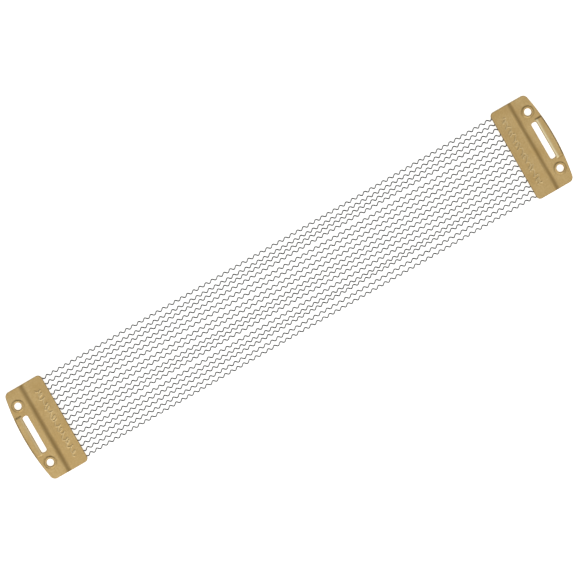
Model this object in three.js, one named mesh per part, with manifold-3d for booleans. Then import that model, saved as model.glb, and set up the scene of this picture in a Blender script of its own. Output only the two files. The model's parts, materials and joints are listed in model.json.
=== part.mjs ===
// Coiled snare wires: sixteen coiled steel strands soldered under two stamped end plates.
// Frame: millimetres, +X along the strands, +Y across them, +Z up.
// Origin: on the supporting surface, under the middle of the set.
// The coils lie on that surface. Each plate's inner land sits on top of the coils, and a joggle
// brings its outer land down, so that a cord or strap pulls in line with the strands.

import * as THREE from 'three';
import { mergeVertices } from 'three/addons/utils/BufferGeometryUtils.js';
import Module from 'manifold-3d';

const wasm = await Module();
wasm.setup();

// ---- driving dimensions, in millimetres ----

const overallLength = 330;
const plateWidth = 53.5;
const plateReach = 25;
const sheet = 0.8;

const outerEdgeRadius = 128;
const outerCorner = 3;
const innerCorner = 2.4;

const strandCount = 16;
const strandSpacing = 3.2;
const coilDiameter = 1.86;
const coilSides = 12;

const landClearance = 0.14;
const joggleStart = 10.9;
const joggleEnd = 13.6;
const joggleDrop = 1.1;

const holeRadius = 2;
const holeSpacing = 35;
const holeReach = 18.95;
const collarFoot = 3.3;
const collarTop = 2.8;
const collarHeight = 0.25;

const slotLength = 22.1;
const slotWidth = 3.4;
const slotCorner = 1.1;
const slotReach = 18.6;

const barHalfLength = 11.9;
const barRise = 0.45;
const barOverlap = 0.5;

const strandTuck = 2.7;
const seamStart = 3;
const seamEnd = 9;
const seamUnderside = 0.4;
const seamMargin = 0.5;
const seamChamfer = 0.5;
const seamGap = 0.1;

// How far a cutting shape reaches past what it cuts, and how finely round shapes are faceted.
const cutMargin = 1;
const blankCorner = 0.2;
const postSides = 24;
const outlineSegments = 6;
const slotSegments = 4;

// ---- dimensions that follow from them ----

const plateStart = overallLength / 2 - plateReach;
const innerUnderside = coilDiameter + landClearance;
const outerUnderside = innerUnderside - joggleDrop;
const barUnderside = outerUnderside + barRise;
const outlineHeight = innerUnderside + sheet + 2 * cutMargin;

// ---- materials ----

const brass = new THREE.MeshStandardMaterial({ color: 0xb99c62, roughness: 0.42, metalness: 1 });
const springSteel = new THREE.MeshStandardMaterial({ color: 0x6e6c6b, roughness: 0.35, metalness: 1 });
const solder = new THREE.MeshStandardMaterial({ color: 0xa9a9a6, roughness: 0.5, metalness: 1 });

// ---- solids and booleans ----

// A closed geometry as a solid, with its shared corners merged by position alone.
function toSolid(geometry) {
  const bare = geometry.clone();
  bare.deleteAttribute('normal');
  bare.deleteAttribute('uv');
  const merged = mergeVertices(bare, 1e-5);
  const vertProperties = new Float32Array(merged.attributes.position.array);
  const triVerts = new Uint32Array(merged.index.array);
  return new wasm.Manifold(new wasm.Mesh({ numProp: 3, vertProperties, triVerts }));
}

// A solid back as a flat-shaded geometry.
function toGeometry(solid) {
  const mesh = solid.getMesh();
  const geometry = new THREE.BufferGeometry();
  geometry.setAttribute('position', new THREE.BufferAttribute(mesh.vertProperties, 3));
  geometry.setIndex(new THREE.BufferAttribute(mesh.triVerts, 1));
  return geometry;
}

// A prism over an X-Y shape, from one height to another.
function prism(shape, bottom, top, curveSegments) {
  const geometry = new THREE.ExtrudeGeometry(shape, {
    depth: top - bottom,
    bevelEnabled: false,
    curveSegments,
  });
  geometry.translate(0, 0, bottom);
  return toSolid(geometry);
}

// A prism over an X-Z shape, running along Y over the given width about the middle.
function crossPrism(shape, width) {
  const geometry = new THREE.ExtrudeGeometry(shape, { depth: width, bevelEnabled: false });
  geometry.rotateX(Math.PI / 2);
  geometry.translate(0, width / 2, 0);
  return toSolid(geometry);
}

// A rectangle with round corners about a centre.
function roundedRectangle(centreX, sizeX, sizeY, corner) {
  const left = centreX - sizeX / 2;
  const right = centreX + sizeX / 2;
  const half = sizeY / 2;
  const shape = new THREE.Shape();
  shape.moveTo(left + corner, -half);
  shape.lineTo(right - corner, -half);
  shape.absarc(right - corner, -half + corner, corner, -Math.PI / 2, 0, false);
  shape.lineTo(right, half - corner);
  shape.absarc(right - corner, half - corner, corner, 0, Math.PI / 2, false);
  shape.lineTo(left + corner, half);
  shape.absarc(left + corner, half - corner, corner, Math.PI / 2, Math.PI, false);
  shape.lineTo(left, -half + corner);
  shape.absarc(left + corner, -half + corner, corner, Math.PI, 1.5 * Math.PI, false);
  return shape;
}

// ---- end plate: its inner edge on x = 0, reaching along +X ----

// The plan: a straight inner edge, square sides and an outer edge on one large arc.
function plateOutline() {
  const half = plateWidth / 2;
  const arcCentre = plateReach - outerEdgeRadius;
  const cornerY = half - outerCorner;
  const cornerReach = Math.sqrt((outerEdgeRadius - outerCorner) ** 2 - cornerY ** 2);
  const cornerX = arcCentre + cornerReach;
  const lean = Math.atan2(cornerY, cornerReach);
  const shape = new THREE.Shape();
  shape.moveTo(innerCorner, -half);
  shape.lineTo(cornerX, -half);
  shape.absarc(cornerX, -cornerY, outerCorner, -Math.PI / 2, -lean, false);
  shape.absarc(arcCentre, 0, outerEdgeRadius, -lean, lean, false);
  shape.absarc(cornerX, cornerY, outerCorner, lean, Math.PI / 2, false);
  shape.lineTo(innerCorner, half);
  shape.absarc(innerCorner, half - innerCorner, innerCorner, Math.PI / 2, Math.PI, false);
  shape.lineTo(0, -half + innerCorner);
  shape.absarc(innerCorner, -half + innerCorner, innerCorner, Math.PI, 1.5 * Math.PI, false);
  return shape;
}

// The cross-section: inner land, joggle and outer land, one sheet thick.
function sheetSection() {
  const end = plateReach + cutMargin;
  const shape = new THREE.Shape();
  shape.moveTo(-cutMargin, innerUnderside);
  shape.lineTo(joggleStart, innerUnderside);
  shape.lineTo(joggleEnd, outerUnderside);
  shape.lineTo(end, outerUnderside);
  shape.lineTo(end, outerUnderside + sheet);
  shape.lineTo(joggleEnd, outerUnderside + sheet);
  shape.lineTo(joggleStart, innerUnderside + sheet);
  shape.lineTo(-cutMargin, innerUnderside + sheet);
  return shape;
}

// The strip between the slot and the outer edge, over a half length.
function barBlank(halfLength, bottom, top) {
  const inner = slotReach + slotWidth / 2;
  const outer = plateReach + cutMargin;
  const shape = roundedRectangle((inner + outer) / 2, outer - inner, 2 * halfLength, blankCorner);
  return prism(shape, bottom, top, 1);
}

// The outer strip pressed up into a bar for a strap, joined to the land by its two short ends.
function raisedBar(outline) {
  const blank = barBlank(barHalfLength + barOverlap, barUnderside, barUnderside + sheet);
  return blank.intersect(outline);
}

// A round post on the outer land at a cord hole's place, from one height to another.
function post(y, footRadius, topRadius, bottom, top) {
  const geometry = new THREE.CylinderGeometry(topRadius, footRadius, top - bottom, postSides);
  geometry.rotateX(Math.PI / 2);
  geometry.translate(holeReach, y, (bottom + top) / 2);
  return toSolid(geometry);
}

// The low collar pressed up round a cord hole.
function collar(y) {
  const landTop = outerUnderside + sheet;
  return post(y, collarFoot, collarTop, landTop - sheet / 2, landTop + collarHeight);
}

// The whole plate: stepped sheet, raised bar and collars, with the slot and the cord holes cut.
function endPlateSolid() {
  const outline = prism(plateOutline(), -cutMargin, outlineHeight, outlineSegments);
  const steppedSheet = crossPrism(sheetSection(), plateWidth + 2 * cutMargin).intersect(outline);
  const opened = steppedSheet.subtract(barBlank(barHalfLength, -cutMargin, outlineHeight));
  const slotShape = roundedRectangle(slotReach, slotWidth, slotLength, slotCorner);
  const slot = prism(slotShape, -cutMargin, outlineHeight, slotSegments);
  let plate = opened.add(raisedBar(outline)).subtract(slot);
  for (const y of [-holeSpacing / 2, holeSpacing / 2]) {
    const bore = post(y, holeRadius, holeRadius, -cutMargin, outlineHeight);
    plate = plate.add(collar(y)).subtract(bore);
  }
  return plate;
}

// ---- solder seam: a low chamfered run under the inner land ----

// The seam as one solid, just short of the plate above and the strand ends before it.
function solderSeamSolid() {
  const bottom = seamUnderside;
  const top = innerUnderside - seamGap;
  const width = (strandCount - 1) * strandSpacing + coilDiameter + 2 * seamMargin;
  const shape = new THREE.Shape();
  shape.moveTo(seamStart + seamChamfer, bottom);
  shape.lineTo(seamEnd - seamChamfer, bottom);
  shape.lineTo(seamEnd, bottom + seamChamfer);
  shape.lineTo(seamEnd, top);
  shape.lineTo(seamStart, top);
  shape.lineTo(seamStart, bottom + seamChamfer);
  return crossPrism(shape, width);
}

// ---- strand: the outer shape of one coil, lying on the surface with a flat side down ----

// The coil's envelope, from a little under one plate to a little under the other.
function strandGeometry() {
  const radius = coilDiameter / 2 / Math.cos(Math.PI / coilSides);
  const length = 2 * (plateStart + strandTuck);
  const geometry = new THREE.CylinderGeometry(radius, radius, length, coilSides);
  geometry.rotateZ(Math.PI / 2);
  geometry.rotateX(Math.PI / coilSides);
  return geometry;
}

// ---- assembly ----

// A mesh that carries its node's name.
function namedMesh(name, geometry, material) {
  const mesh = new THREE.Mesh(geometry, material);
  mesh.name = name;
  return mesh;
}

// One end of the set: a plate with its solder seam, in a group that faces outwards.
function endAssembly(side, turn) {
  const end = new THREE.Group();
  end.add(namedMesh(`${side}_end_plate`, toGeometry(endPlateSolid()), brass));
  end.add(namedMesh(`${side}_solder_seam`, toGeometry(solderSeamSolid()), solder));
  end.position.set(plateStart * Math.cos(turn), 0, 0);
  end.rotation.z = turn;
  return end;
}

const snareWires = new THREE.Group();
snareWires.add(endAssembly('left', Math.PI));
snareWires.add(endAssembly('right', 0));

for (let i = 0; i < strandCount; i += 1) {
  const name = `strand_${String(i + 1).padStart(2, '0')}`;
  const strand = namedMesh(name, strandGeometry(), springSteel);
  strand.position.set(0, (i - (strandCount - 1) / 2) * strandSpacing, coilDiameter / 2);
  snareWires.add(strand);
}

export default snareWires;
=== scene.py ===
"""Coiled snare wires for a snare drum.

Sixteen coiled strands of spring steel are soldered under two stamped, brass-plated end plates.
Objects are in metres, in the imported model's frame: +X along the strands, +Y across them, +Z up.
Forms are worked out in millimetres and turned into metres as each mesh is made.
"""

import json
import logging
import math
from abc import ABC, abstractmethod
from collections.abc import Callable
from dataclasses import dataclass, field
from enum import Enum
from functools import partial

import bpy
import numpy as np
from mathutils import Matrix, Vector
from mathutils.geometry import delaunay_2d_cdt


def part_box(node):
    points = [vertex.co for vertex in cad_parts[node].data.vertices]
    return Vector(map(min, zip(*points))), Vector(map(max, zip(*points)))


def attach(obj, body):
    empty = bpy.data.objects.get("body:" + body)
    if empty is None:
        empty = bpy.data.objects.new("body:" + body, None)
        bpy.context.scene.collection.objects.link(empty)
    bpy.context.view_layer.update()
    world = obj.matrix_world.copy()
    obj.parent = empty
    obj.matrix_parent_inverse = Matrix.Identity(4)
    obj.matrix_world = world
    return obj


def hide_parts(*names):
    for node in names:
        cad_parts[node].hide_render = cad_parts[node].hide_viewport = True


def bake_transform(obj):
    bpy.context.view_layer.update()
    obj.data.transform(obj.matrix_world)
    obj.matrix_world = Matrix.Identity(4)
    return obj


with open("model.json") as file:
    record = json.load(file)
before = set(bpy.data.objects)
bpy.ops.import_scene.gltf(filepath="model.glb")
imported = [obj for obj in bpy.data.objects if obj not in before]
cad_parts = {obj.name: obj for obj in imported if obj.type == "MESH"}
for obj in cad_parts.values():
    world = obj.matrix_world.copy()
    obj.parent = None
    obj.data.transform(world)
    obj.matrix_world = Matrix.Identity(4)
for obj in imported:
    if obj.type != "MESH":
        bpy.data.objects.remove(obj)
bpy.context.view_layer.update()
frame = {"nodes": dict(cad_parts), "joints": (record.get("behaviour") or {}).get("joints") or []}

LOG = logging.getLogger("snare_wires")
MM = 0.001
# Most of a noise texture's values lie between these two.
NOISE_LOW = 0.3
NOISE_HIGH = 0.7

Array = np.ndarray
Faces = list[tuple[int, ...]]
Tree = bpy.types.NodeTree
Socket = bpy.types.NodeSocket


# ---- small helpers ----


def smoothstep(value: Array, start: float, end: float) -> Array:
    """Ease from 0 at start to 1 at end.

    Args:
        value: Where to evaluate.
        start: Value that gives 0.
        end: Value that gives 1; it may be below start.

    Returns:
        The eased value, between 0 and 1.
    """
    t = np.clip((value - start) / (end - start), 0.0, 1.0)
    return t * t * (3.0 - 2.0 * t)


def band(distance: Array, half_width: float) -> Array:
    """A soft band: 1 at no distance, and about a third at half_width."""
    return np.exp(-((distance / half_width) ** 2))


def beat(values: Array, *waves: tuple[float, float]) -> Array:
    """The mean of a few sines: an uneven wave, slow to repeat.

    Args:
        values: Where to evaluate.
        *waves: Each sine's rate and its start, in radians.

    Returns:
        The wave at each value, between -1 and 1.
    """
    return sum(np.sin(rate * values + start) for rate, start in waves) / len(waves)


def arc(centre: tuple[float, float], radius: float, start: float, end: float, steps: int) -> Array:
    """Points on a circular arc, without its last point.

    Args:
        centre: The arc's centre.
        radius: The arc's radius.
        start: Angle of the first point, in degrees.
        end: Angle where the arc ends, in degrees.
        steps: How many points to give.

    Returns:
        An array of steps rows of x and y.
    """
    angles = np.radians(np.linspace(start, end, steps, endpoint=False))
    return np.column_stack((centre[0] + radius * np.cos(angles), centre[1] + radius * np.sin(angles)))


def run(start: tuple[float, float], end: tuple[float, float], steps: int) -> Array:
    """Points on a straight run, without its last point.

    Args:
        start: The first point.
        end: Where the run ends.
        steps: How many points to give.

    Returns:
        An array of steps rows of x and y.
    """
    return np.linspace(start, end, steps, endpoint=False)


def edge_distance(points: Array, loop: Array) -> Array:
    """Distance from points to a closed loop, positive inside it.

    Args:
        points: Rows of x and y.
        loop: The loop's corners in order.

    Returns:
        One signed distance for each point.
    """
    nearest = np.full(len(points), np.inf)
    inside = np.zeros(len(points), bool)
    for a, b in zip(loop, np.roll(loop, -1, axis=0)):
        along = b - a
        offset = points - a
        t = np.clip(offset @ along / (along @ along), 0.0, 1.0)
        nearest = np.minimum(nearest, np.linalg.norm(offset - t[:, None] * along, axis=1))
        if a[1] != b[1]:
            crosses = (a[1] > points[:, 1]) != (b[1] > points[:, 1])
            inside ^= crosses & (offset[:, 0] < along[0] * offset[:, 1] / along[1])
    return np.where(inside, nearest, -nearest)


def on_sheet(points: Array, loops: list[Array], clearance: float) -> Array:
    """Find the points that lie inside an outline and outside its openings.

    Args:
        points: Rows of x and y.
        loops: The outline, then the openings.
        clearance: The least distance to every edge.

    Returns:
        True for each point that does.
    """
    outline, *openings = loops
    kept = edge_distance(points, outline) > clearance
    for opening in openings:
        kept &= edge_distance(points, opening) < -clearance
    return kept


def make_piece(name: str, points: Array, faces: Faces) -> bpy.types.Object:
    """Make a smooth-shaded mesh object.

    Args:
        name: The piece's name.
        points: Rows of x, y and z, in metres.
        faces: Corner numbers of each face, anticlockwise from outside.

    Returns:
        The new object, linked to the scene.
    """
    mesh = bpy.data.meshes.new(name)
    mesh.from_pydata(points.tolist(), [], faces)
    mesh.polygons.foreach_set("use_smooth", [True] * len(mesh.polygons))
    mesh.update()
    piece = bpy.data.objects.new(name, mesh)
    bpy.context.scene.collection.objects.link(piece)
    return piece


def store(piece: bpy.types.Object, name: str, values: Array) -> None:
    """Keep one number for each point of a piece, for its material to read.

    Args:
        piece: The object whose mesh takes the numbers.
        name: The attribute's name.
        values: One number for each point.
    """
    attribute = piece.data.attributes.new(name, "FLOAT", "POINT")
    attribute.data.foreach_set("value", values.astype(np.float32))


def linear(colour: str) -> tuple[float, float, float, float]:
    """Turn an sRGB colour into the linear colour that shaders take.

    Args:
        colour: The colour as #RRGGBB.

    Returns:
        Linear red, green and blue, and an alpha of 1.
    """
    channels = [int(colour[i : i + 2], 16) / 255.0 for i in (1, 3, 5)]
    curve = [c / 12.92 if c <= 0.04045 else ((c + 0.055) / 1.055) ** 2.4 for c in channels]
    return (*curve, 1.0)


def per_metre(size_mm: float) -> float:
    """The texture scale at which one pattern cell measures size_mm."""
    return 1.0 / (size_mm * MM)


def add_node(
    tree: Tree, kind: str, inputs: dict[str | int, object] | None = None, **settings: object
) -> bpy.types.Node:
    """Add one node with its settings, its constants and its links.

    Args:
        tree: The node tree to add to.
        kind: Blender's identifier for the node.
        inputs: Input name or number, to a constant or to the output socket that feeds it.
        **settings: The node's own properties.

    Returns:
        The new node.
    """
    made = tree.nodes.new(kind)
    for key, value in settings.items():
        setattr(made, key, value)
    for key, value in (inputs or {}).items():
        if isinstance(value, Socket):
            tree.links.new(value, made.inputs[key])
        else:
            made.inputs[key].default_value = value
    return made


# ---- finishes ----


class Slot(Enum):
    """The record's material slots."""

    BRASS = "brass_plate"
    STEEL = "spring_steel"
    SOLDER = "solder"


@dataclass(frozen=True)
class Finish(ABC):
    """A named surface finish that makes its own material."""

    name: str

    @abstractmethod
    def wire(self, tree: Tree) -> bpy.types.Node:
        """Add the finish's nodes.

        Args:
            tree: The material's node tree, empty.

        Returns:
            The shader node.
        """

    def material(self) -> bpy.types.Material:
        """Make the finish's material, or find it if it is already made.

        Returns:
            The one material that every piece with this finish shares.
        """
        known = bpy.data.materials.get(self.name)
        if known is not None:
            return known
        made = bpy.data.materials.new(self.name)
        made.use_nodes = True
        made.node_tree.nodes.clear()
        shader = self.wire(made.node_tree)
        add_node(made.node_tree, "ShaderNodeOutputMaterial", {"Surface": shader.outputs[0]})
        return made

    def dress(self, piece: bpy.types.Object, slot: Slot | None = None) -> None:
        """Give a piece this finish.

        Args:
            piece: The object to dress.
            slot: The record's slot for the piece, if it is part of the object; not used.
        """
        piece.data.materials.clear()
        piece.data.materials.append(self.material())


@dataclass(frozen=True)
class Metal(Finish):
    """A bare or plated metal whose polish and fine relief follow its grain."""

    roughness: tuple[float, float]
    bump_mm: float
    bump_strength: float

    def surface(
        self,
        tree: Tree,
        base: str,
        coats: list[tuple[Socket, str]],
        grain: Socket,
        relief: Socket,
    ) -> bpy.types.Node:
        """Add the last stages of every metal here: its colours, its roughness, its relief and its shader.

        Args:
            tree: The material's node tree.
            base: The first colour.
            coats: The other colours in order, each after the socket that says how much of it covers.
            grain: The noise that the roughness follows.
            relief: The height of the fine relief.

        Returns:
            The shader node.
        """
        colour = linear(base)
        for cover, paint in coats:
            coat = add_node(
                tree, "ShaderNodeMix", {"Factor": cover, "A": colour, "B": linear(paint)}, data_type="RGBA"
            )
            colour = coat.outputs["Result"]
        low, high = self.roughness
        rough = add_node(
            tree, "ShaderNodeMapRange",
            {"Value": grain, "From Min": NOISE_LOW, "From Max": NOISE_HIGH, "To Min": low, "To Max": high},
        )
        bump = add_node(
            tree, "ShaderNodeBump",
            {"Height": relief, "Strength": self.bump_strength, "Distance": self.bump_mm * MM},
        )
        return add_node(
            tree, "ShaderNodeBsdfPrincipled",
            {
                "Base Color": colour,
                "Metallic": 1.0,
                "Roughness": rough.outputs[0],
                "Normal": bump.outputs[0],
            },
        )


@dataclass(frozen=True)
class BrassPlating(Metal):
    """Brass-plated steel sheet, stamped, then lacquered: a warm, satin, slightly mottled yellow metal."""

    name: str = "brass_plated_sheet"
    bright: str = "#DFC289"
    mellow: str = "#D1B074"
    # Colour of the painted shade in the creases and at the bar, and of the bare, tarnished cut edges.
    shade_and_tarnish: str = "#6C4C18"
    # Colour of the painted highlight on the scroll and on the bar's slot side.
    worn: str = "#FFF0C2"
    roughness: tuple[float, float] = (0.36, 0.5)
    cloud_mm: float = 9.0
    mottle_mm: float = 0.9
    # Cloud times mottle runs between these, from mellow to bright.
    tone_range: tuple[float, float] = (0.12, 0.42)
    # The painted shade and the cut edges' tarnish are patchy: where the mottle is lowest, only this share of
    # them is left.
    least_darkening: float = 0.6
    # Rolling lines in sheet are some 0.05 mm wide; they are drawn wider so that they show.
    rolling_line_mm: tuple[float, float] = (0.3, 7.0)
    bump_mm: float = 0.012
    bump_strength: float = 0.35

    def wire(self, tree: Tree) -> bpy.types.Node:
        """Add cloudy brass tones, rolling lines, painted shade in the creases and at the bar, tarnished cut
        edges and painted highlights.

        Args:
            tree: The material's node tree, empty.

        Returns:
            The shader node.
        """
        place = add_node(tree, "ShaderNodeTexCoord").outputs["Object"]
        across, along = (per_metre(size) for size in self.rolling_line_mm)
        stretched = add_node(tree, "ShaderNodeMapping", {"Vector": place, "Scale": (across, along, across)})
        noises = [
            add_node(tree, "ShaderNodeTexNoise", {"Vector": where, "Scale": scale, "Detail": detail})
            for where, scale, detail in (
                (place, per_metre(self.cloud_mm), 3.0),
                (place, per_metre(self.mottle_mm), 4.0),
                (stretched.outputs[0], 1.0, 2.0),
            )
        ]
        cloud, mottle, lines = (noise.outputs["Fac"] for noise in noises)
        blend = add_node(tree, "ShaderNodeMath", {0: cloud, 1: mottle}, operation="MULTIPLY")
        mellow_at, bright_at = self.tone_range
        tone = add_node(
            tree, "ShaderNodeMapRange",
            {"Value": blend.outputs[0], "From Min": mellow_at, "From Max": bright_at},
        )
        # Painted shade in the creases and at the bar, with the cut edges' tarnish, read from the mesh and
        # made patchy by the mottle.
        dull = add_node(tree, "ShaderNodeAttribute", attribute_name="shade_and_tarnish").outputs["Fac"]
        patchiness = add_node(tree, "ShaderNodeMapRange", {"Value": mottle, "To Min": self.least_darkening})
        dark_cover = add_node(tree, "ShaderNodeMath", {0: dull, 1: patchiness.outputs[0]}, operation="MULTIPLY")
        # Painted highlights on the scroll and on the bar's slot side, read from the mesh.
        painted_highlight = add_node(tree, "ShaderNodeAttribute", attribute_name="painted_highlight").outputs["Fac"]
        relief = add_node(tree, "ShaderNodeMath", {0: lines, 1: mottle}, operation="ADD")
        coats = [(tone.outputs[0], self.bright), (dark_cover.outputs[0], self.shade_and_tarnish), (painted_highlight, self.worn)]
        return self.surface(tree, self.mellow, coats, lines, relief.outputs[0])


@dataclass(frozen=True)
class DrawnSpringSteel(Metal):
    """High-carbon spring wire, bare and grey, with painted shade: dark on top and lighter below."""

    name: str = "drawn_spring_steel"
    # Painted light and shade: the lighter grey for the lower runs, the darker one for the upper runs.
    painted_light: str = "#8D8C8F"
    dull: str = "#19181B"
    # Painted shade: the wire is the lighter grey up to the first height and the darker one from the second.
    painted_shade_mm: tuple[float, float] = (0.5, 1.3)
    dark_end: str = "#241F1B"
    # The wire turns dark next to the plates: its own colour up to the first distance from the set's
    # middle, dark from the second.
    dark_end_mm: tuple[float, float] = (137.5, 139.8)
    roughness: tuple[float, float] = (0.24, 0.4)
    # Draw marks are finer than the eye sees; these are drawn as coarse as the wire allows.
    mark_mm: float = 0.35
    patch_mm: float = 11.0
    patch_share: float = 0.14
    bump_mm: float = 0.006
    bump_strength: float = 0.3

    def wire(self, tree: Tree) -> bpy.types.Node:
        """Add painted shade, dark on the tops and lighter on the undersides, patches along the coil, draw
        marks and darker ends.

        Args:
            tree: The material's node tree, empty.

        Returns:
            The shader node.
        """
        place = add_node(tree, "ShaderNodeTexCoord").outputs["Object"]
        patch, marks = (
            add_node(tree, "ShaderNodeTexNoise", {"Vector": place, "Scale": per_metre(size), "Detail": 3.0})
            for size in (self.patch_mm, self.mark_mm)
        )
        axes = add_node(tree, "ShaderNodeSeparateXYZ", {0: place})
        reach = add_node(tree, "ShaderNodeMath", {0: axes.outputs["X"]}, operation="ABSOLUTE")
        height, near_plates = (
            add_node(
                tree, "ShaderNodeMapRange", {"Value": value, "From Min": start * MM, "From Max": end * MM}
            )
            for value, (start, end) in (
                (axes.outputs["Z"], self.painted_shade_mm), (reach.outputs[0], self.dark_end_mm)
            )
        )
        # Painted shade on the upper runs, with a little of the patch noise.
        dark_cover = add_node(
            tree, "ShaderNodeMix",
            {"Factor": self.patch_share, "A": height.outputs[0], "B": patch.outputs["Fac"]},
        )
        coats = [(dark_cover.outputs["Result"], self.dull), (near_plates.outputs[0], self.dark_end)]
        grain = marks.outputs["Fac"]
        return self.surface(tree, self.painted_light, coats, grain, grain)


@dataclass(frozen=True)
class SoftSolder(Metal):
    """Tin solder, flowed and left to set: a pale, dull metal with a frosty skin and brown flux stains."""

    name: str = "set_tin_solder"
    frosty: str = "#C3C3BF"
    dull: str = "#8E8E8A"
    flux: str = "#6F5B3A"
    roughness: tuple[float, float] = (0.38, 0.62)
    frost_mm: float = 0.6
    stain_mm: float = 4.0
    # Flux shows where its noise is above the first value, and most of all above the second.
    stain_range: tuple[float, float] = (0.52, 0.68)
    stain_share: float = 0.7
    bump_mm: float = 0.05
    bump_strength: float = 0.5

    def wire(self, tree: Tree) -> bpy.types.Node:
        """Add a frosted grey skin with flux stains and a fine ripple.

        Args:
            tree: The material's node tree, empty.

        Returns:
            The shader node.
        """
        place = add_node(tree, "ShaderNodeTexCoord").outputs["Object"]
        frost, stain = (
            add_node(tree, "ShaderNodeTexNoise", {"Vector": place, "Scale": per_metre(size), "Detail": fine})
            for size, fine in ((self.frost_mm, 4.0), (self.stain_mm, 3.0))
        )
        clean_at, stained_at = self.stain_range
        stained = add_node(
            tree, "ShaderNodeMapRange",
            {
                "Value": stain.outputs["Fac"],
                "From Min": clean_at,
                "From Max": stained_at,
                "To Max": self.stain_share,
            },
        )
        grain = frost.outputs["Fac"]
        coats = [(grain, self.frosty), (stained.outputs[0], self.flux)]
        return self.surface(tree, self.dull, coats, grain, grain)


@dataclass(frozen=True)
class GlowingTable(Finish):
    """Opal acrylic lit from below: an even white ground on which thin things leave almost no shadow."""

    name: str = "opal_acrylic"
    opal: str = "#F4F4F2"
    glow: float = 0.8
    roughness: tuple[float, float] = (0.75, 0.95)
    speckle_mm: float = 3.0

    def wire(self, tree: Tree) -> bpy.types.Node:
        """Add a white, matt, faintly uneven surface with a glow of its own.

        Args:
            tree: The material's node tree, empty.

        Returns:
            The shader node.
        """
        place = add_node(tree, "ShaderNodeTexCoord").outputs["Object"]
        speckle = add_node(
            tree, "ShaderNodeTexNoise",
            {"Vector": place, "Scale": per_metre(self.speckle_mm), "Detail": 2.0},
        )
        low, high = self.roughness
        rough = add_node(
            tree, "ShaderNodeMapRange", {"Value": speckle.outputs["Fac"], "To Min": low, "To Max": high}
        )
        return add_node(
            tree, "ShaderNodeBsdfPrincipled",
            {
                "Base Color": linear(self.opal),
                "Roughness": rough.outputs[0],
                "Specular IOR Level": 0.0,
                "Emission Color": linear(self.opal),
                "Emission Strength": self.glow,
            },
        )


# ---- the two ends ----


class End(Enum):
    """The two ends of the set, the same but for half a turn about Z."""

    LEFT = "left"
    RIGHT = "right"

    @property
    def body(self) -> str:
        """The CAD body that moves with this end."""
        return f"{self.value}_end"

    def node(self, part: str) -> str:
        """The CAD node of one of this end's parts."""
        return f"{self.value}_{part}"

    def place(self, points: Array) -> Array:
        """Turn points for this end.

        Args:
            points: Rows of x, y and z as they are at the right end, in millimetres.

        Returns:
            The rows at this end, in metres.
        """
        turn = -1.0 if self is End.LEFT else 1.0
        return points * np.array((turn, turn, 1.0)) * MM


@dataclass(frozen=True)
class ScrollBorder:
    """A plain running scroll of leaning loops, now taller, now shorter, stamped into the inner land."""

    centre: float = 5.0
    half_length: float = 20.5
    loop_spacing: float = 2.7
    loop_reach: tuple[float, float] = (1.1, 2.4)
    loop_swing: float = 0.75
    lean: float = math.radians(28.0)
    loop_steps: int = 20
    half_width: float = 0.25
    height: float = 0.16
    # Each wave's rate and start, in radians, for every radian that the loops turn.
    stretch_waves: tuple[tuple[float, float], ...] = ((0.29, 0.7), (0.73, 2.0))
    crowding_wave: tuple[float, float] = (0.37, 0.0)
    # How far the loops crowd together and spread apart, as a share of their spacing.
    crowding: float = 0.25

    def path(self) -> Array:
        """Work out the scroll's middle line.

        Returns:
            Rows of x and y in the plate's plan.
        """
        loops = 2 * self.half_length / self.loop_spacing
        t = np.linspace(0.0, 2 * math.pi * loops, int(loops * self.loop_steps))
        short, tall = self.loop_reach
        reach = (short + (tall - short) * beat(t, *self.stretch_waves) ** 2) * np.cos(t)
        crowded = self.crowding * beat(t, self.crowding_wave)
        along = self.loop_spacing * (t / (2 * math.pi) - loops / 2 + crowded)
        along += self.loop_swing * np.sin(t)
        slant = np.column_stack((np.cos(self.lean) * reach, np.sin(self.lean) * reach + along))
        return slant + (self.centre, 0.0)

    def relief(self, points: Array) -> Array:
        """Work out how far the scroll stands up.

        Args:
            points: Rows of x and y in the plate's plan.

        Returns:
            The scroll's height at each point.
        """
        path = self.path()
        away = np.full(len(points), np.inf)
        for start, end in zip(path, path[1:]):
            along = end - start
            t = np.clip((points - start) @ along / (along @ along), 0.0, 1.0)
            away = np.minimum(away, np.linalg.norm(points - start - t[:, None] * along, axis=1))
        return self.height * band(away, self.half_width)


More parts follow.
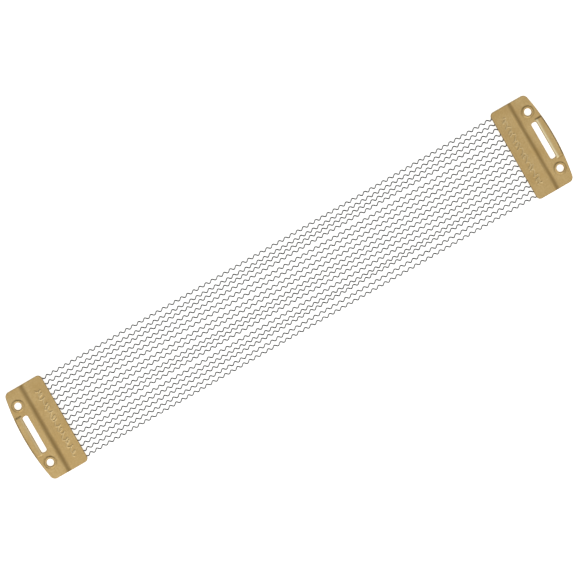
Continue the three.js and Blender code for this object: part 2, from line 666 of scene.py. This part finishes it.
@dataclass(frozen=True)
class PlateForm:
    """The form of a stamped end plate, in millimetres: x from its inner edge outwards, y along it."""

    reach: float
    width: float
    land_top: float
    sheet: float = 0.8
    outer_edge_radius: float = 128.0
    outer_corner: float = 3.0
    inner_corner: float = 2.4
    edge_radius: float = 0.22
    # Where the step from the inner land down to the outer one starts and ends.
    joggle: tuple[float, float] = (9.7, 14.7)
    joggle_drop: float = 1.1
    hole_radius: float = 2.0
    hole_spacing: float = 35.0
    hole_reach: float = 18.95
    # Distances from the hole's axis at which a collar starts to rise and is at its full height.
    collar: tuple[float, float] = (3.5, 2.9)
    collar_height: float = 0.36
    hole_roll: float = 0.8
    hole_roll_depth: float = 0.18
    slot_length: float = 22.1
    slot_width: float = 3.2
    slot_corner: float = 1.1
    slot_reach: float = 18.68
    bar_half_length: float = 11.9
    bar_end_slope: float = 0.9
    bar_rise: float = 0.45
    bar_foot: float = 0.3
    # How wide and how deep the bar is rolled down at its outer edge and at its slot side.
    bar_roll: tuple[float, float] = (1.3, 1.5)
    bar_roll_depth: tuple[float, float] = (0.5, 0.3)
    # Stamped sheet isn't quite flat: the depth, the scales across, along and aslant, and the start.
    waviness: float = 0.03
    wave_scales: tuple[float, float, float] = (2.9, 5.1, 7.0)
    wave_start: float = 1.0
    # How many stretches each run and corner of an edge is made of.
    side_steps: int = 60
    end_steps: int = 150
    outer_corner_steps: int = 14
    inner_corner_steps: int = 12
    slot_corner_steps: int = 8
    slot_end_steps: int = 5
    slot_side_steps: int = 64
    hole_steps: int = 56
    border: ScrollBorder = field(default_factory=ScrollBorder)

    @property
    def bar_inner_edge(self) -> float:
        """Where the strap bar starts, at the slot's outer side."""
        return self.slot_reach + self.slot_width / 2

    def outline(self, inset: float) -> Array:
        """Draw the plate's plan, drawn in by an inset, anticlockwise.

        Args:
            inset: How far inside the real edge to go.

        Returns:
            The loop's points, as many for every inset.
        """
        half = self.width / 2
        arc_centre = self.reach - self.outer_edge_radius
        corner_y = half - self.outer_corner
        corner_reach = math.sqrt((self.outer_edge_radius - self.outer_corner) ** 2 - corner_y**2)
        corner_x = arc_centre + corner_reach
        lean = math.degrees(math.atan2(corner_y, corner_reach))
        outer = self.outer_corner - inset
        inner = self.inner_corner - inset
        side = half - inset
        inner_y = half - self.inner_corner
        return np.vstack((
            run((self.inner_corner, -side), (corner_x, -side), self.side_steps),
            arc((corner_x, -corner_y), outer, -90.0, -lean, self.outer_corner_steps),
            arc((arc_centre, 0.0), self.outer_edge_radius - inset, -lean, lean, self.end_steps),
            arc((corner_x, corner_y), outer, lean, 90.0, self.outer_corner_steps),
            run((corner_x, side), (self.inner_corner, side), self.side_steps),
            arc((self.inner_corner, inner_y), inner, 90.0, 180.0, self.inner_corner_steps),
            run((inset, inner_y), (inset, -inner_y), self.end_steps),
            arc((self.inner_corner, -inner_y), inner, 180.0, 270.0, self.inner_corner_steps),
        ))

    def slot(self, inset: float) -> Array:
        """Draw the strap slot's plan, opened out by an inset, clockwise.

        Args:
            inset: How far outside the real opening to go.

        Returns:
            The loop's points, as many for every inset.
        """
        half_width = self.slot_width / 2 + inset
        half_length = self.slot_length / 2 + inset
        radius = self.slot_corner + inset
        left = self.slot_reach - half_width + radius
        right = self.slot_reach + half_width - radius
        end = half_length - radius
        loop = np.vstack((
            arc((right, end), radius, 0.0, 90.0, self.slot_corner_steps),
            run((right, half_length), (left, half_length), self.slot_end_steps),
            arc((left, end), radius, 90.0, 180.0, self.slot_corner_steps),
            run((left - radius, end), (left - radius, -end), self.slot_side_steps),
            arc((left, -end), radius, 180.0, 270.0, self.slot_corner_steps),
            run((left, -half_length), (right, -half_length), self.slot_end_steps),
            arc((right, -end), radius, 270.0, 360.0, self.slot_corner_steps),
            run((right + radius, -end), (right + radius, end), self.slot_side_steps),
        ))
        return loop[::-1]

    def hole(self, side: int, inset: float) -> Array:
        """Draw a cord hole's plan, opened out by an inset, clockwise.

        Args:
            side: 1 for the hole towards +Y and -1 for the other.
            inset: How far outside the bore to go.

        Returns:
            The loop's points.
        """
        centre = (self.hole_reach, side * self.hole_spacing / 2)
        return arc(centre, self.hole_radius + inset, 360.0, 0.0, self.hole_steps)

    def loops(self) -> list[Callable[[float], Array]]:
        """Every edge of the sheet, as a function of the inset: the outline first, then the openings."""
        return [self.outline, self.slot, partial(self.hole, 1), partial(self.hole, -1)]

    def hole_distance(self, points: Array) -> Array:
        """Distance from each point to the nearer cord hole's axis."""
        across = np.abs(points[:, 1]) - self.hole_spacing / 2
        return np.hypot(points[:, 0] - self.hole_reach, across)

    def outer_distance(self, points: Array) -> Array:
        """Distance from each point in to the outer edge's arc."""
        centre = self.reach - self.outer_edge_radius
        return self.outer_edge_radius - np.hypot(points[:, 0] - centre, points[:, 1])

    def on_bar(self, points: Array) -> Array:
        """Mark the raised strap bar.

        Args:
            points: Rows of x and y in the plate's plan.

        Returns:
            1 on the bar and 0 off it, eased over its ends.
        """
        half_slope = self.bar_end_slope / 2
        along = smoothstep(
            np.abs(points[:, 1]), self.bar_half_length + half_slope, self.bar_half_length - half_slope
        )
        return along * smoothstep(points[:, 0], self.bar_inner_edge - self.bar_foot, self.bar_inner_edge)

    def height(self, points: Array) -> Array:
        """Work out the height of the sheet's upper face above the supporting surface.

        Args:
            points: Rows of x and y in the plate's plan.

        Returns:
            The height at each point.
        """
        x, y = points[:, 0], points[:, 1]
        top = self.land_top - self.joggle_drop * smoothstep(x, *self.joggle)
        from_hole = self.hole_distance(points)
        top += self.collar_height * smoothstep(from_hole, *self.collar)
        # The punch draws the sheet down a little round each hole.
        draw = 1.0 - np.clip((from_hole - self.hole_radius) / self.hole_roll, 0.0, 1.0)
        top -= self.hole_roll_depth * draw**2
        top += self.border.relief(points)
        across, along, aslant = self.wave_scales
        top += self.waviness * np.sin(x / across + self.wave_start) * np.cos(y / along + x / aslant)
        bar = self.on_bar(points)
        top += self.bar_rise * bar
        outer_roll, inner_roll = self.bar_roll
        outer_depth, inner_depth = self.bar_roll_depth
        outer_fall = (1.0 - np.clip(self.outer_distance(points) / outer_roll, 0.0, 1.0)) ** 2
        inner_fall = (1.0 - np.clip((x - self.bar_inner_edge) / inner_roll, 0.0, 1.0)) ** 2
        return top - bar * (outer_depth * outer_fall + inner_depth * inner_fall)


@dataclass(frozen=True)
class PaintedShading:
    """Where painted shade and painted highlights fall on one plate: shares from 0 to 1, distances in
    millimetres.
    """

    slot_side_highlight: float
    bar_edge_shade: float
    joggle_shade: float = 0.6
    joggle_spread: float = 1.4
    collar_foot_shade: float = 0.22
    collar_spread: float = 0.35
    bar_end_shade: float = 0.4
    bar_end_lead: float = 0.4
    bar_end_spread: float = 0.35
    # The painted shade at the bar's ends comes in between these distances out from the slot's middle.
    bar_end_start: tuple[float, float] = (1.5, 2.0)
    bar_edge_spread: float = 0.62
    scroll_highlight: float = 0.3
    highlight_lead: float = 0.7
    highlight_spread: float = 0.6

    def shade_and_tarnish(self, form: PlateForm, points: Array) -> Array:
        """Gather painted shade along the joggle, round the collars' feet and at the bar's ends and outer
        edge.

        Args:
            form: The plate's form.
            points: Rows of x and y in the plate's plan.

        Returns:
            The painted shade at each point, from 0 to 1.
        """
        x, y = points[:, 0], points[:, 1]
        joggle = band(x - sum(form.joggle) / 2, self.joggle_spread)
        foot = band(form.hole_distance(points) - form.collar[0], self.collar_spread)
        past_bar = np.abs(y) - form.bar_half_length
        bar_end = band(past_bar - self.bar_end_lead, self.bar_end_spread)
        clear, full = self.bar_end_start
        bar_end *= smoothstep(x, form.slot_reach + clear, form.slot_reach + full)
        bar_edge = band(form.outer_distance(points), self.bar_edge_spread) * form.on_bar(points)
        lands = self.joggle_shade * joggle + self.collar_foot_shade * foot
        bar = self.bar_end_shade * bar_end + self.bar_edge_shade * bar_edge
        return np.clip(lands + bar, 0.0, 1.0)

    def painted_highlight(self, form: PlateForm, points: Array) -> Array:
        """Paint highlights on the bar's slot side and on the scroll.

        Args:
            form: The plate's form.
            points: Rows of x and y in the plate's plan.

        Returns:
            The painted highlight at each point, from 0 to 1.
        """
        # The scroll's strokes get a painted highlight.
        painted_light = form.border.relief(points) / form.border.height
        from_slot = points[:, 0] - form.bar_inner_edge
        # Painted highlight in a band along the bar's slot side.
        strap = band(from_slot - self.highlight_lead, self.highlight_spread) * form.on_bar(points)
        return np.clip(self.scroll_highlight * painted_light + self.slot_side_highlight * strap, 0.0, 1.0)


@dataclass
class EndPlate:
    """One stamped end plate, built as a sheet with rolled edges."""

    end: End
    painted_shading: PaintedShading
    finish: BrassPlating = field(default_factory=BrassPlating)
    grid_step: float = 0.26
    edge_clearance: float = 0.16
    merge_distance: float = 1e-6
    edge_steps: int = 4

    def __post_init__(self) -> None:
        """Read the plate's place and main sizes from the CAD node at the right end."""
        low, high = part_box(End.RIGHT.node("end_plate"))
        self.inner_edge = low.x / MM
        self.form = PlateForm(
            reach=(high.x - low.x) / MM, width=(high.y - low.y) / MM, land_top=high.z / MM
        )

    def grid(self, loops: list[Array]) -> Array:
        """Spread staggered points over the plan, clear of every edge.

        Args:
            loops: The outline, then the openings, as point rows.

        Returns:
            Rows of x and y.
        """
        step = self.grid_step
        rows = np.arange(-self.form.width / 2, self.form.width / 2, step * math.sqrt(0.75))
        columns = np.arange(0.0, self.form.reach, step)
        x, y = np.meshgrid(columns, rows)
        x[1::2] += step / 2
        points = np.column_stack((x.ravel(), y.ravel()))
        return points[on_sheet(points, loops, self.edge_clearance)]

    def triangulate(self, loops: list[Array]) -> tuple[Array, Faces]:
        """Cover the plan between its edges with triangles.

        Args:
            loops: The outline, then the openings, as point rows.

        Returns:
            The points, with those of the loops first and in order, and the triangles.
        """
        points = np.vstack((*loops, self.grid(loops)))
        edges = []
        first = 0
        for loop in loops:
            count = len(loop)
            edges += [(first + i, first + (i + 1) % count) for i in range(count)]
            first += count
        # Output type 0 gives every triangle of the hull; on_sheet then picks those of the sheet.
        corners = [Vector(point) for point in points]
        _, _, found, sources, *_ = delaunay_2d_cdt(corners, edges, [], 0, self.merge_distance)
        numbers = [source[0] for source in sources]
        triangles = np.array([[numbers[corner] for corner in face] for face in found])
        kept = on_sheet(points[triangles].mean(axis=1), loops, 0.0)
        return points, [tuple(t) for t in triangles[kept].tolist()]

    def rim(self, loop: Callable[[float], Array], heights: Array) -> list[Array]:
        """Lay rows of points round one edge, from under the upper face to above the lower one.

        Args:
            loop: The edge as a function of its inset.
            heights: Upper-face height at each point of the edge.

        Returns:
            The rows, each with x, y and z.
        """
        radius = self.form.edge_radius
        quarter = np.linspace(0.0, math.pi / 2, self.edge_steps + 1)
        down = [(radius * (1 - math.sin(a)), radius * (1 - math.cos(a))) for a in quarter[1:]]
        under = [(inset, self.form.sheet - drop) for inset, drop in reversed(down)]
        return [np.column_stack((loop(inset), heights - drop)) for inset, drop in down + under]

    def build(self) -> bpy.types.Object:
        """Make the plate's closed mesh at its own end.

        Returns:
            The plate, with its painted shade, its cut edges' tarnish and its painted highlights kept at each
            point.
        """
        loops = [loop(self.form.edge_radius) for loop in self.form.loops()]
        plan, triangles = self.triangulate(loops)
        upper = self.form.height(plan)
        count = len(plan)
        blocks = [np.column_stack((plan, upper)), np.column_stack((plan, upper - self.form.sheet))]
        faces = triangles + [(a + count, c + count, b + count) for a, b, c in triangles]
        first = 0
        total = 2 * count
        for make, loop in zip(self.form.loops(), loops):
            size = len(loop)
            rows = self.rim(make, upper[first : first + size])
            starts = [first, *(total + size * i for i in range(len(rows))), first + count]
            for a, b in zip(starts, starts[1:]):
                faces += [(a + i, b + i, b + (i + 1) % size, a + (i + 1) % size) for i in range(size)]
            blocks += rows
            total += size * len(rows)
            first += size
        points = np.vstack(blocks)
        placed = self.end.place(points + (self.inner_edge, 0, 0))
        piece = make_piece(f"{self.end.value}_stamped_plate", placed, faces)
        # Painted shade along the joggle, at the collars' feet and at the bar's ends and outer edge.
        shade_and_tarnish = self.painted_shading.shade_and_tarnish(self.form, points[:, :2])
        # The punched edges have no plating left and are dark all over.
        shade_and_tarnish[2 * count :] = 1.0
        store(piece, "shade_and_tarnish", shade_and_tarnish)
        painted_highlight = self.painted_shading.painted_highlight(self.form, points[:, :2])
        # No highlight is painted on the underside or the edges.
        painted_highlight[count:] = 0.0
        store(piece, "painted_highlight", painted_highlight)
        return piece

    def dress(self, piece: bpy.types.Object) -> None:
        """Plate it with brass and put it in the CAD plate's place.

        Args:
            piece: The plate's mesh.
        """
        self.finish.dress(piece, Slot.BRASS)
        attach(piece, self.end.body)
        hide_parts(self.end.node("end_plate"))


@dataclass
class SolderSeam:
    """The solder that has flowed along the strand ends under one plate."""

    end: End
    strand_rows: list[float]
    finish: SoftSolder = field(default_factory=SoftSolder)
    step: float = 0.22
    # The least depth, at the seam's edges.
    thin: float = 0.05
    # How far in from an edge the solder has reached its full depth.
    lap: float = 0.8
    # Shares of the CAD seam's depth: between the strands, and what each strand adds.
    trough: float = 0.62
    swell: float = 0.36
    swell_spread: float = 1.0
    # Lumps come from two crossed waves, given by their rates along X and Y in radians per millimetre.
    ripple: float = 0.06
    ripple_waves: tuple[tuple[float, float], tuple[float, float]] = ((2.1, 1.3), (-0.9, 1.7))
    # The inner and outer edges wander by this much; each wave is a rate and a start.
    wander: float = 0.4
    inner_waves: tuple[tuple[float, float], ...] = ((1.3, 0.4), (2.9, 1.7))
    outer_waves: tuple[tuple[float, float], ...] = ((1.7, 2.1), (3.7, 0.2))

    def __post_init__(self) -> None:
        """Read the seam's place from the CAD node at the right end."""
        low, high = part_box(End.RIGHT.node("solder_seam"))
        self.low = np.array(low) / MM
        self.high = np.array(high) / MM

    def depth(self, x: Array, y: Array) -> Array:
        """Work out how deep the solder is below the plate: thick at each strand, thin between them.

        Args:
            x: X of each point.
            y: Y of each point.

        Returns:
            The depth at each point.
        """
        full = self.high[2] - self.low[2]
        rows = np.array(self.strand_rows) / MM
        away = np.abs(y[..., None] - rows).min(axis=-1)
        inner = self.low[0] + self.wander * beat(y, *self.inner_waves)
        outer = self.high[0] - self.wander * beat(y, *self.outer_waves)
        edge_x = np.minimum(x - inner, outer - x)
        edge_y = np.minimum(y - self.low[1], self.high[1] - y)
        edge = np.clip(np.minimum(edge_x, edge_y) / self.lap, 0.0, 1.0)
        round_edge = np.sqrt(1.0 - (1.0 - edge) ** 2)
        (first_x, first_y), (second_x, second_y) = self.ripple_waves
        lumps = np.sin(first_x * x + first_y * y) * np.sin(second_x * x + second_y * y)
        body = full * (self.trough + self.swell * band(away, self.swell_spread)) + self.ripple * lumps
        return self.thin + round_edge * body

    def build(self) -> bpy.types.Object:
        """Make the seam's closed mesh: flat against the plate above, lumpy below.

        Returns:
            The seam.
        """
        columns = np.arange(self.low[0] - self.wander, self.high[0] + self.wander + self.step, self.step)
        rows = np.arange(self.low[1], self.high[1] + self.step, self.step)
        x, y = np.meshgrid(columns, rows, indexing="ij")
        upper = np.full(x.shape, self.high[2])
        lower = upper - self.depth(x, y)
        m, n = x.shape
        points = np.vstack([np.column_stack((x.ravel(), y.ravel(), z.ravel())) for z in (upper, lower)])
        count = m * n
        faces: Faces = []
        for i in range(m - 1):
            for j in range(n - 1):
                a, b, c, d = i * n + j, (i + 1) * n + j, (i + 1) * n + j + 1, i * n + j + 1
                faces.append((a, b, c, d))
                faces.append((a + count, d + count, c + count, b + count))
        border = [i * n for i in range(m)]
        border += [(m - 1) * n + j for j in range(1, n)]
        border += [i * n + n - 1 for i in range(m - 2, -1, -1)]
        border += list(range(n - 2, 0, -1))
        for a, b in zip(border, border[1:] + border[:1]):
            faces.append((a, a + count, b + count, b))
        return make_piece(f"{self.end.value}_solder_run", self.end.place(points), faces)

    def dress(self, piece: bpy.types.Object) -> None:
        """Finish it as set solder and put it in the CAD seam's place.

        Args:
            piece: The seam's mesh.
        """
        self.finish.dress(piece, Slot.SOLDER)
        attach(piece, self.end.body)
        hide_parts(self.end.node("solder_seam"))


# ---- the strands ----


class Half(Enum):
    """A strand's two halves, which meet in the middle."""

    LEFT = "left"
    RIGHT = "right"


@dataclass
class Strand:
    """One coiled strand, a right-hand helix of thin wire that lies on the supporting surface."""

    number: int
    finish: DrawnSpringSteel = field(default_factory=DrawnSpringSteel)
    # The usual wire is 0.5 mm; it is drawn a little thicker so that it shows.
    wire_radius: float = 0.31
    coil_radius: float = 0.65
    pitch: float = 3.816
    # How far each end runs on under its plate, into the solder.
    buried: float = 5.5
    turn_steps: int = 18
    wire_sides: int = 8
    phase: float = math.radians(-35.0)
    # No two strands lie alike: typical spreads of the coil's start, its sideways bow and wave, and the
    # angle by which its turns get ahead of an even pitch.
    phase_spread: float = 0.42
    sway: tuple[float, float] = (0.27, 0.12)
    pitch_drift: float = 0.35

    def __post_init__(self) -> None:
        """Read the strand's place from its CAD node and the exit line from the right plate's."""
        low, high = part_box(self.node)
        self.row = (low.y + high.y) / 2 / MM
        self.middle = low.z / MM + self.coil_radius + self.wire_radius
        self.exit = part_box(End.RIGHT.node("end_plate"))[0].x / MM

    @property
    def node(self) -> str:
        """The strand's CAD node."""
        return f"strand_{self.number:02d}"

    def route(self) -> tuple[Array, Array]:
        """Run the wire along its coil.

        Returns:
            Rows of the wire's middle line, and of the outward direction from the coil's axis.
        """
        chance = np.random.default_rng(self.number)
        end = self.exit + self.buried
        # An even number of steps puts a point in the middle, where the two halves meet.
        steps = int(2 * end / self.pitch * self.turn_steps) // 2 * 2
        x = np.linspace(-end, end, steps + 1)
        share = np.clip((x + self.exit) / (2 * self.exit), 0.0, 1.0)
        bow, wave = chance.normal(0.0, self.sway)
        axis_y = self.row + bow * np.sin(math.pi * share) + wave * np.sin(2 * math.pi * share)
        start, drift = chance.normal(0.0, (self.phase_spread, self.pitch_drift))
        angle = 2 * math.pi * x / self.pitch + self.phase + start + drift * np.sin(math.pi * (share - 0.5))
        outward = np.column_stack((np.zeros_like(x), np.cos(angle), np.sin(angle)))
        centre = np.column_stack((x, axis_y, np.full_like(x, self.middle)))
        return centre + self.coil_radius * outward, outward

    def tube(self, line: Array, outward: Array) -> tuple[Array, Faces]:
        """Sweep the wire's round section along its middle line.

        Args:
            line: Rows of the middle line.
            outward: A direction across the wire at each row.

        Returns:
            The tube's points and faces, closed at both ends.
        """
        along = np.gradient(line, axis=0)
        along /= np.linalg.norm(along, axis=1)[:, None]
        side = np.cross(along, outward)
        side /= np.linalg.norm(side, axis=1)[:, None]
        across = np.cross(side, along)
        turns = np.arange(self.wire_sides) * 2 * math.pi / self.wire_sides
        ring = np.cos(turns)[:, None, None] * across + np.sin(turns)[:, None, None] * side
        points = (line + self.wire_radius * ring).transpose(1, 0, 2).reshape(-1, 3)
        sides, count = self.wire_sides, len(line)
        faces: Faces = []
        for i in range(count - 1):
            for j in range(sides):
                k = (j + 1) % sides
                faces.append((i * sides + j, i * sides + k, (i + 1) * sides + k, (i + 1) * sides + j))
        faces.append(tuple(range(sides - 1, -1, -1)))
        faces.append(tuple(range((count - 1) * sides, count * sides)))
        return points, faces

    def build(self) -> dict[Half, bpy.types.Object]:
        """Make the strand's two halves, which meet in the middle.

        Returns:
            Each half's piece.
        """
        line, outward = self.route()
        middle = len(line) // 2
        spans = {Half.LEFT: slice(0, middle + 1), Half.RIGHT: slice(middle, None)}
        halves = {}
        for half, span in spans.items():
            points, faces = self.tube(line[span], outward[span])
            halves[half] = make_piece(f"{self.node}_{half.value}_half", points * MM, faces)
        return halves

    def dress(self, halves: dict[Half, bpy.types.Object], bend_start: float) -> None:
        """Finish both halves as spring steel and bake each one's placement into its mesh.

        Args:
            halves: The strand's two pieces.
            bend_start: Where along X the coil starts to bend when the right plate tilts, in metres; not
                used.
        """
        for half, piece in halves.items():
            self.finish.dress(piece, Slot.STEEL)
            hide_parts(self.node)
            if half is Half.LEFT:
                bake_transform(piece)
            else:
                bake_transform(piece)


@dataclass
class SnareWires:
    """The whole set: two ends and the strands between them."""

    # The coils start to bend this far inside the tilt joint's axis.
    bend_lead: float = 4.0

    def strand_nodes(self) -> list[str]:
        """The strands' CAD nodes, in order across the set."""
        return sorted(name for name in frame["nodes"] if name.startswith("strand_"))

    def bend_start(self) -> float:
        """Where along X the coils start to bend, in metres."""
        tilt = next(joint for joint in frame["joints"] if joint["name"] == "plate_tilt")
        return tilt["pos_m"][0] - self.bend_lead * MM

    def build(self) -> list[bpy.types.Object]:
        """Build and dress every piece.

        Returns:
            The pieces, in the order in which they were made.
        """
        nodes = self.strand_nodes()
        pieces = []
        for number in range(1, len(nodes) + 1):
            strand = Strand(number)
            halves = strand.build()
            strand.dress(halves, self.bend_start())
            pieces += halves.values()
        boxes = [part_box(node) for node in nodes]
        rows = [(low.y + high.y) / 2 for low, high in boxes]
        # The right plate gets the stronger painted highlight on its bar's slot side and the stronger painted
        # shade along its bar's outer edge.
        plates = (
            EndPlate(End.LEFT, PaintedShading(slot_side_highlight=0.35, bar_edge_shade=0.45)),
            EndPlate(End.RIGHT, PaintedShading(slot_side_highlight=1.0, bar_edge_shade=1.0)),
        )
        seams = (SolderSeam(End.LEFT, rows), SolderSeam(End.RIGHT, rows))
        for part in (*plates, *seams):
            piece = part.build()
            part.dress(piece)
            pieces.append(piece)
        return pieces


# ---- the studio ----


@dataclass(frozen=True)
class Softbox:
    """A rectangular light on a dome over the set, facing its middle: degrees and metres."""

    name: str
    bearing: float
    from_zenith: float
    size: tuple[float, float]
    radiance: float
    distance: float = 1.35

    def hang(self, turn: float) -> None:
        """Hang the light.

        Args:
            turn: How far the studio is turned about Z against the set, in radians.
        """
        lamp = bpy.data.lights.new(self.name, "AREA")
        lamp.shape = "RECTANGLE"
        lamp.size, lamp.size_y = self.size
        lamp.energy = self.radiance * math.pi * self.size[0] * self.size[1]
        holder = bpy.data.objects.new(self.name, lamp)
        bearing = math.radians(self.bearing) + turn
        tilt = math.radians(self.from_zenith)
        outward = Vector((math.cos(bearing), math.sin(bearing), 0.0))
        holder.location = self.distance * (math.sin(tilt) * outward + Vector((0.0, 0.0, math.cos(tilt))))
        holder.rotation_euler = (tilt, 0.0, bearing + math.pi / 2)
        bpy.context.scene.collection.objects.link(holder)


@dataclass
class Studio:
    """The camera straight above, the pale ground and the soft lights round it."""

    turn: float = math.radians(-30.0)
    # The point in the middle of the view, to the right of the set's middle and up from it as the camera
    # sees them, and its height over the ground.
    aim: tuple[float, float] = (-0.00083, -0.00017)
    aim_height: float = 0.002
    # How much of the set's plane the view takes in from side to side.
    view_width: float = 0.3104
    lens_mm: float = 100.0
    sensor_mm: float = 36.0
    far_clip: float = 50.0
    ground_half: float = 12.0
    # The light that the room gives the set, and how bright its walls look.
    air: float = 0.23
    backdrop: float = 1.0

    def camera(self) -> None:
        """Set the camera over the middle of the set, looking straight down."""
        data = bpy.data.cameras.new("camera")
        data.lens = self.lens_mm
        data.sensor_width = self.sensor_mm
        data.clip_end = self.far_clip
        holder = bpy.data.objects.new("camera", data)
        cos, sin = math.cos(self.turn), math.sin(self.turn)
        right, up = self.aim
        distance = self.view_width * self.lens_mm / self.sensor_mm
        height = self.aim_height + distance
        holder.location = (right * cos - up * sin, right * sin + up * cos, height)
        holder.rotation_euler = (0.0, 0.0, self.turn)
        bpy.context.scene.collection.objects.link(holder)
        bpy.context.scene.camera = holder

    def ground(self) -> None:
        """Lay the pale ground that the coils lie on."""
        half = self.ground_half
        corners = np.array([(-half, -half, 0), (half, -half, 0), (half, half, 0), (-half, half, 0)], float)
        ground = make_piece("ground", corners, [(0, 1, 2, 3)])
        GlowingTable().dress(ground)

    def lights(self) -> None:
        """Hang a high and a low softbox in front of the set, the same past each end, and one overhead."""
        for box in (
            Softbox("overhead_softbox", 30.0, 8.0, (1.0, 2.2), 0.34),
            Softbox("key_softbox", -78.0, 36.0, (1.4, 0.75), 1.3),
            Softbox("low_front_softbox", -76.0, 66.0, (1.3, 0.5), 0.95),
            Softbox("right_softbox", 30.0, 38.0, (0.5, 1.0), 0.7),
            Softbox("left_softbox", -150.0, 40.0, (0.45, 1.2), 0.65),
            Softbox("low_right_softbox", -15.0, 73.0, (1.1, 0.55), 0.7),
            Softbox("low_left_softbox", 165.0, 68.0, (1.1, 0.7), 0.6),
        ):
            box.hang(self.turn)

    def surroundings(self) -> None:
        """Put a dim room round the set, and a white backdrop behind it."""
        world = bpy.data.worlds.new("studio")
        world.use_nodes = True
        tree = world.node_tree
        tree.nodes.clear()
        room = add_node(tree, "ShaderNodeBackground", {"Color": (1, 1, 1, 1), "Strength": self.air})
        white = add_node(tree, "ShaderNodeBackground", {"Color": (1, 1, 1, 1), "Strength": self.backdrop})
        seen = add_node(tree, "ShaderNodeLightPath").outputs["Is Camera Ray"]
        mix = add_node(tree, "ShaderNodeMixShader", {0: seen, 1: room.outputs[0], 2: white.outputs[0]})
        add_node(tree, "ShaderNodeOutputWorld", {"Surface": mix.outputs[0]})
        bpy.context.scene.world = world
        bpy.context.scene.view_settings.view_transform = "Standard"

    def build(self) -> None:
        """Set up the camera, the ground and the lights."""
        self.camera()
        self.ground()
        self.lights()
        self.surroundings()


def main() -> None:
    """Build the studio, then the snare wires."""
    logging.basicConfig(level=logging.INFO, format="%(name)s: %(message)s")
    Studio().build()
    for piece in SnareWires().build():
        LOG.info("%s: %d faces", piece.name, len(piece.data.polygons))


if __name__ == "__main__":
    main()
